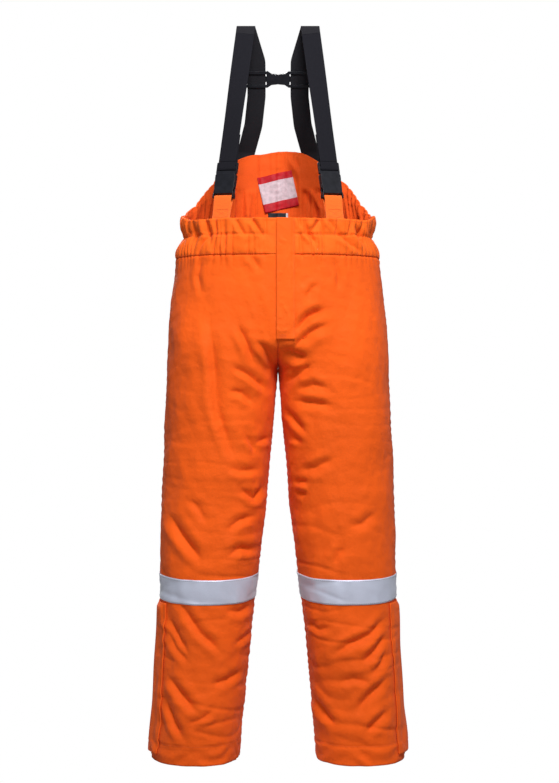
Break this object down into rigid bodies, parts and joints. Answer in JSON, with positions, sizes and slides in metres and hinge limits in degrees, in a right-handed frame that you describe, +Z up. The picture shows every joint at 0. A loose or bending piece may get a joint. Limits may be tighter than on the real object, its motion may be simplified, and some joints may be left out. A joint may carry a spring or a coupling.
{
  "type": "insulated work trousers with braces",
  "caption": "High-visibility insulated over-trousers with a zipped, flapped fly, an elasticated waist, a high back, zipped ankles, reflective bands and clip-on webbing braces.",
  "frame": {"origin": "on the floor under the middle of the garment, which stands on its two hems", "axes": "+Z up towards the braces; the front faces -Y; +X is the side of the wearer's left leg"},
  "size_m": [0.5248, 0.265, 1.492],
  "materials": {
    "shell_fabric": "woven twill, matt",
    "lining_fabric": "quilted lining, matt",
    "tab_webbing": "doubled shell fabric",
    "zip_tape": "woven tape",
    "elastic": "knitted elastic",
    "reflective_tape": "retroreflective silver",
    "brace_webbing": "woven webbing",
    "care_label_cloth": "woven satin",
    "size_label_cloth": "woven satin",
    "buckle_plastic": "moulded, satin",
    "zip_metal": "brushed"
  },
  "bodies": {
    "garment": {"right_front_panel": "shell_fabric", "right_back_panel": "shell_fabric", "right_front_waistband": "shell_fabric", "right_front_lining": "lining_fabric", "right_back_lining": "lining_fabric", "right_hem_facing": "lining_fabric", "right_front_waist_facing": "lining_fabric", "right_reflective_band": "reflective_tape", "right_front_elastic": "elastic", "right_ankle_zip_half_a": "zip_tape", "right_ankle_zip_half_b": "zip_tape", "right_brace_tab": "tab_webbing", "right_buckle_socket": "buckle_plastic", "right_front_strap": "brace_webbing", "right_back_strap": "brace_webbing", "left_front_panel": "shell_fabric", "left_back_panel": "shell_fabric", "left_front_waistband": "shell_fabric", "left_front_lining": "lining_fabric", "left_back_lining": "lining_fabric", "left_hem_facing": "lining_fabric", "left_front_waist_facing": "lining_fabric", "left_reflective_band": "reflective_tape", "left_front_elastic": "elastic", "left_ankle_zip_half_a": "zip_tape", "left_ankle_zip_half_b": "zip_tape", "left_brace_tab": "tab_webbing", "left_buckle_socket": "buckle_plastic", "left_front_strap": "brace_webbing", "left_back_strap": "brace_webbing", "high_back": "shell_fabric", "high_back_facing": "lining_fabric", "fly_guard": "lining_fabric", "back_elastic": "elastic", "care_label": "care_label_cloth", "size_label": "size_label_cloth", "fly_zip_half_a": "zip_tape", "fly_zip_half_b": "zip_tape", "waist_stud_post": "zip_metal"},
    "fly_flap_leaf": {"fly_flap": "shell_fabric", "waist_stud_socket": "zip_metal"},
    "fly_slider": {"fly_zip_slider": "zip_metal"},
    "fly_pull": {"fly_zip_pull": "zip_metal"},
    "right_storm_flap_leaf": {"right_storm_flap": "shell_fabric"},
    "right_ankle_slider": {"right_ankle_zip_slider": "zip_metal"},
    "right_ankle_pull": {"right_ankle_zip_pull": "zip_metal"},
    "right_clip": {"right_buckle_ladder": "buckle_plastic", "right_strap_end": "brace_webbing"},
    "right_prong_a": {"right_buckle_prong_a": "buckle_plastic"},
    "right_prong_b": {"right_buckle_prong_b": "buckle_plastic"},
    "left_storm_flap_leaf": {"left_storm_flap": "shell_fabric"},
    "left_ankle_slider": {"left_ankle_zip_slider": "zip_metal"},
    "left_ankle_pull": {"left_ankle_zip_pull": "zip_metal"},
    "left_clip": {"left_buckle_ladder": "buckle_plastic", "left_strap_end": "brace_webbing"},
    "left_prong_a": {"left_buckle_prong_a": "buckle_plastic"},
    "left_prong_b": {"left_buckle_prong_b": "buckle_plastic"},
    "back_slider_bar": {"back_slider": "buckle_plastic"}
  },
  "joints": [
    {"name": "fly_flap_hinge", "type": "hinge", "parent": "garment", "child": "fly_flap_leaf", "pos_m": [0.03353, -0.13, 0.9645], "axis": [0.0022, 0.0086, 1], "range_deg": [0, 110], "stiffness_Nm_per_rad": 0.01},
    {"name": "fly_zip_slide", "type": "slide", "parent": "garment", "child": "fly_slider", "axis": [0, -0.0086, -1], "range_m": [0, 0.2]},
    {"name": "fly_pull_swing", "type": "hinge", "parent": "fly_slider", "child": "fly_pull", "pos_m": [0.006, -0.12578, 1.068], "axis": [0, 1, -0.0086], "range_deg": [-30, 30]},
    {"name": "right_storm_flap_hinge", "type": "hinge", "parent": "garment", "child": "right_storm_flap_leaf", "pos_m": [-0.23634, -0.07005, 0.1665], "axis": [0.0599, 0, 0.9982], "range_deg": [0, 110], "stiffness_Nm_per_rad": 0.02},
    {"name": "right_ankle_zip_slide", "type": "slide", "parent": "garment", "child": "right_ankle_slider", "axis": [0.0565, 0, 0.9984], "range_m": [0, 0.28]},
    {"name": "right_ankle_pull_swing", "type": "hinge", "parent": "right_ankle_slider", "child": "right_ankle_pull", "pos_m": [-0.25681, -0.00566, 0.02099], "axis": [0.9984, 0, -0.0565], "range_deg": [-30, 30]},
    {"name": "right_clip_slide", "type": "slide", "parent": "garment", "child": "right_clip", "axis": [0.1158, 0.2013, 0.9727], "range_m": [0, 0.045], "deforming": ["right_front_strap", "right_buckle_prong_a", "right_buckle_prong_b"]},
    {"name": "right_prong_a_squeeze", "type": "hinge", "parent": "right_clip", "child": "right_prong_a", "pos_m": [-0.11495, -0.07275, 1.17205], "axis": [-0.3802, -0.8957, 0.2306], "range_deg": [0, 12], "stiffness_Nm_per_rad": 0.3},
    {"name": "right_prong_b_squeeze", "type": "hinge", "parent": "right_clip", "child": "right_prong_b", "pos_m": [-0.0911, -0.08306, 1.17135], "axis": [0.3802, 0.8957, -0.2306], "range_deg": [0, 12], "stiffness_Nm_per_rad": 0.3},
    {"name": "left_storm_flap_hinge", "type": "hinge", "parent": "garment", "child": "left_storm_flap_leaf", "pos_m": [0.23634, -0.07005, 0.1665], "axis": [0.0599, 0, -0.9982], "range_deg": [0, 110], "stiffness_Nm_per_rad": 0.02},
    {"name": "left_ankle_zip_slide", "type": "slide", "parent": "garment", "child": "left_ankle_slider", "axis": [-0.0565, 0, 0.9984], "range_m": [0, 0.28]},
    {"name": "left_ankle_pull_swing", "type": "hinge", "parent": "left_ankle_slider", "child": "left_ankle_pull", "pos_m": [0.25681, -0.00566, 0.02099], "axis": [-0.9984, 0, -0.0565], "range_deg": [-30, 30]},
    {"name": "left_clip_slide", "type": "slide", "parent": "garment", "child": "left_clip", "axis": [-0.1158, 0.2013, 0.9727], "range_m": [0, 0.045], "deforming": ["left_front_strap", "left_buckle_prong_a", "left_buckle_prong_b"]},
    {"name": "left_prong_a_squeeze", "type": "hinge", "parent": "left_clip", "child": "left_prong_a", "pos_m": [0.0911, -0.08306, 1.17135], "axis": [0.3802, -0.8957, 0.2306], "range_deg": [0, 12], "stiffness_Nm_per_rad": 0.3},
    {"name": "left_prong_b_squeeze", "type": "hinge", "parent": "left_clip", "child": "left_prong_b", "pos_m": [0.11495, -0.07275, 1.17205], "axis": [-0.3802, 0.8957, -0.2306], "range_deg": [0, 12], "stiffness_Nm_per_rad": 0.3},
    {"name": "back_slider_slide", "type": "slide", "parent": "garment", "child": "back_slider_bar", "axis": [0, -0.429, 0.9033], "range_m": [-0.015, 0.015]}
  ]
}
